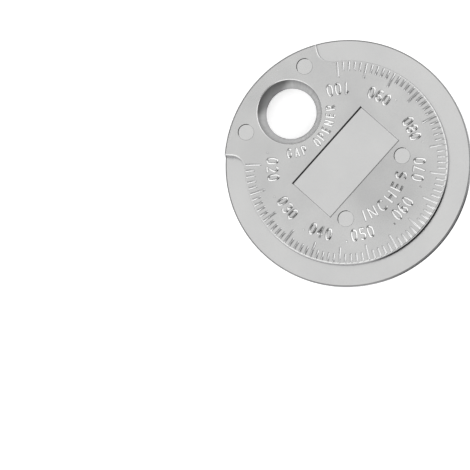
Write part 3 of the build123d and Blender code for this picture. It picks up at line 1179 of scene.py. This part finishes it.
class GAUGE_OT_metric_scale(bpy.types.Operator):
    """Models the millimetre marks and their numerals on the back"""

    bl_idname = "gauge.metric_scale"
    bl_label = "Millimetre scale"

    def execute(self, context):
        sizes = modelling_sizes(context)
        finish = context.scene.gauge_finish
        first = 180 - gap_angle(sizes, metric_last)
        last = 180 - gap_angle(sizes, metric_first)
        marks = model_marks(sizes, first, last, metric_marks)
        lay_on_back(marks, sizes)
        finish_piece(marks, "metric_marks", mark_plate_painted_shade(finish))
        numerals = bmesh.new()
        size = (sizes.numeral_width, sizes.numeral_height)
        for text in metric_numerals:
            middle = 180 - gap_angle(sizes, float(text))
            add_text(numerals, sizes, text, size, sizes.numeral_pitch, sizes.numeral_radius, middle)
        lay_on_back(numerals, sizes)
        finish_piece(numerals, "metric_numerals", satin_plate(finish))
        return {"FINISHED"}


class GAUGE_OT_unit_names(bpy.types.Operator):
    """Models the names of the units, one on each face"""

    bl_idname = "gauge.unit_names"
    bl_label = "Unit names"

    def execute(self, context):
        sizes = modelling_sizes(context)
        plate = satin_plate(context.scene.gauge_finish)
        size = (sizes.unit_width, sizes.unit_height)
        inches = bmesh.new()
        add_text(inches, sizes, "INCHES", size, sizes.unit_pitch, sizes.unit_radius, sizes.unit_angle)
        lay_on_front(inches, sizes)
        finish_piece(inches, "inch_name", plate)
        millimetres = bmesh.new()
        middle = 180 - sizes.scale_middle
        add_text(millimetres, sizes, "MM", size, sizes.unit_pitch, sizes.unit_radius, middle)
        lay_on_back(millimetres, sizes)
        finish_piece(millimetres, "metric_name", plate)
        return {"FINISHED"}


class GAUGE_OT_hole_words(bpy.types.Operator):
    """Models the words that say what the hole's edge does"""

    bl_idname = "gauge.hole_words"
    bl_label = "Words round the hole"

    def execute(self, context):
        sizes = modelling_sizes(context)
        words = bmesh.new()
        size = (sizes.hint_width, sizes.hint_height)
        centre = (0, sizes.hole_centre)
        add_text(
            words, sizes, "GAP OPENER", size, sizes.hint_pitch, sizes.hint_radius, sizes.hint_angle, centre
        )
        lay_on_front(words, sizes)
        finish_piece(words, "hole_words", satin_plate(context.scene.gauge_finish))
        return {"FINISHED"}


def white_sheet(finish):
    """Matte white sheet: it keeps a soft shadow, and shows as the picture's white ground where it is lit."""
    material = bpy.data.materials.new("matte_white_sheet")
    material.use_nodes = True
    tree = material.node_tree
    tree.nodes.remove(tree.nodes["Principled BSDF"])
    paper = add_node(tree, "ShaderNodeBsdfDiffuse", {"Color": (*finish.floor, 1)})
    glow = add_node(tree, "ShaderNodeEmission", {"Color": (*finish.floor, 1), "Strength": sheet_glow})
    rays = add_node(tree, "ShaderNodeLightPath")
    mirrored = add_node(
        tree,
        "ShaderNodeMath",
        {0: rays.outputs["Is Camera Ray"], 1: rays.outputs["Is Glossy Ray"]},
        operation="MAXIMUM",
    )
    seen = add_node(
        tree,
        "ShaderNodeMath",
        {0: mirrored.outputs[0], 1: rays.outputs["Is Transmission Ray"]},
        operation="MAXIMUM",
    )
    dark = add_node(tree, "ShaderNodeEmission", {"Strength": 0})
    shown = add_node(
        tree, "ShaderNodeMixShader", {0: seen.outputs[0], 1: dark.outputs[0], 2: glow.outputs[0]}
    )
    both = add_node(tree, "ShaderNodeAddShader", {0: paper.outputs[0], 1: shown.outputs[0]})
    tree.links.new(both.outputs[0], tree.nodes["Material Output"].inputs["Surface"])
    return material


def dark_card():
    """Dull dark card that keeps the horizon dark in the metal."""
    material = bpy.data.materials.new("dark_card")
    material.use_nodes = True
    shader = material.node_tree.nodes["Principled BSDF"]
    shader.inputs["Base Color"].default_value = (*linear_colour(card_colour), 1)
    shader.inputs["Roughness"].default_value = 1
    return material


def add_stage_piece(bm, name, material):
    """Turns a bmesh in metres into a part of the stage."""
    mesh = bpy.data.meshes.new(name)
    bm.to_mesh(mesh)
    bm.free()
    mesh.materials.append(material)
    piece = bpy.data.objects.new(name, mesh)
    bpy.context.scene.collection.objects.link(piece)
    return piece


def add_lamp(name, place, target, width, height, power):
    """A soft oblong lamp that looks at a point."""
    light = bpy.data.lights.new(name, "AREA")
    light.shape = "RECTANGLE"
    light.size = width
    light.size_y = height
    light.energy = power
    lamp = bpy.data.objects.new(name, light)
    lamp.location = place
    lamp.rotation_euler = (Vector(target) - Vector(place)).to_track_quat("-Z", "Y").to_euler()
    bpy.context.scene.collection.objects.link(lamp)


def place_camera(studio, disc_diameter, target):
    """Puts the camera where the disc gets its size, turn and place in the picture."""
    data = bpy.data.cameras.new("camera")
    data.lens = studio.lens
    camera = bpy.data.objects.new("camera", data)
    bpy.context.scene.collection.objects.link(camera)
    bpy.context.scene.camera = camera
    pixel = data.sensor_width / data.lens / PICTURE_SIDE
    distance = disc_diameter / (studio.disc_across * pixel)
    lean = pi / 2 - studio.elevation
    away = Vector((0, -sin(lean), cos(lean)))
    facing = Matrix.Rotation(lean, 4, "X") @ Matrix.Rotation(-studio.roll, 4, "Z")
    offset = Vector(
        (
            (studio.disc_right - PICTURE_SIDE / 2) * pixel,
            (PICTURE_SIDE / 2 - studio.disc_down) * pixel,
            -1,
        )
    )
    aside = offset.rotation_difference(Vector((0, 0, -1))).to_matrix().to_4x4()
    camera.matrix_world = Matrix.Translation(Vector(target) + away * distance) @ facing @ aside


class GAUGE_OT_stage(bpy.types.Operator):
    """Sets up the floor, the lights and the camera"""

    bl_idname = "gauge.stage"
    bl_label = "Stage"

    def execute(self, context):
        scene = context.scene
        dark = dark_card()
        floor = bmesh.new()
        bmesh.ops.create_grid(floor, x_segments=1, y_segments=1, size=floor_size)
        add_stage_piece(floor, "floor", white_sheet(scene.gauge_finish))
        for name, start, sweep, low, high in cards:
            wall = bmesh.new()
            vertex = wall.verts.new(polar(card_distance, start))
            vertex.co.z = card_distance * tan(radians(low))
            arc_from(wall, vertex, (0, 0, 0), sweep, card_steps)
            raised = bmesh.ops.extrude_edge_only(wall, edges=wall.edges[:])["geom"]
            corners = [item for item in raised if isinstance(item, bmesh.types.BMVert)]
            rise = card_distance * (tan(radians(high)) - tan(radians(low)))
            bmesh.ops.translate(wall, vec=(0, 0, rise), verts=corners)
            card = add_stage_piece(wall, name, dark)
            card.visible_camera = False
        for name, azimuth in lamps:
            place = polar(lamp_distance * sin(radians(lamp_zenith)), azimuth)
            place.z = lamp_distance * cos(radians(lamp_zenith))
            add_lamp(name, place, (0, 0, 0), lamp_width, lamp_height, lamp_power)
        world = bpy.data.worlds.new("studio")
        world.use_nodes = True
        sky = world.node_tree.nodes["Background"]
        sky.inputs["Color"].default_value = (1, 1, 1, 1)
        sky.inputs["Strength"].default_value = 1
        scene.world = world
        scene.view_settings.view_transform = "Standard"
        sizes = modelling_sizes(context)
        middle_gap = (sizes.thinnest_gap + sizes.thickest_gap) / 2
        outline_level = sizes.middle_level + (sizes.half_thickness - middle_gap / 2) / 2
        place_camera(scene.gauge_studio, scene.gauge_casting.disc_diameter, (0, 0, outline_level * MM))
        return {"FINISHED"}


class GAUGE_PT_panel(bpy.types.Panel):
    """Sizes, colours and steps of the gauge"""

    bl_idname = "GAUGE_PT_panel"
    bl_label = "Spark plug gap gauge"
    bl_space_type = "VIEW_3D"
    bl_region_type = "UI"
    bl_category = "Gauge"

    def draw(self, context):
        for group_name in PROPERTY_GROUPS:
            box = self.layout.box()
            group = getattr(context.scene, group_name)
            for name in group.__annotations__:
                box.prop(group, name)
        for operator in OPERATORS:
            self.layout.operator(operator.bl_idname)


OPERATORS = (
    GAUGE_OT_stage,
    GAUGE_OT_casting,
    GAUGE_OT_inch_scale,
    GAUGE_OT_unit_names,
    GAUGE_OT_hole_words,
    GAUGE_OT_metric_scale,
)


def register():
    for kind in (*PROPERTY_GROUPS.values(), *OPERATORS, GAUGE_PT_panel):
        bpy.utils.register_class(kind)
    for name, group in PROPERTY_GROUPS.items():
        setattr(bpy.types.Scene, name, PointerProperty(type=group))


def unregister():
    for name in PROPERTY_GROUPS:
        delattr(bpy.types.Scene, name)
    for kind in reversed((*PROPERTY_GROUPS.values(), *OPERATORS, GAUGE_PT_panel)):
        bpy.utils.unregister_class(kind)


def main():
    """Makes the scene."""
    register()
    bpy.ops.gauge.stage()
    bpy.ops.gauge.casting()
    bpy.ops.gauge.inch_scale()
    bpy.ops.gauge.unit_names()
    bpy.ops.gauge.hole_words()
    bpy.ops.gauge.metric_scale()


if __name__ == "__main__":
    main()
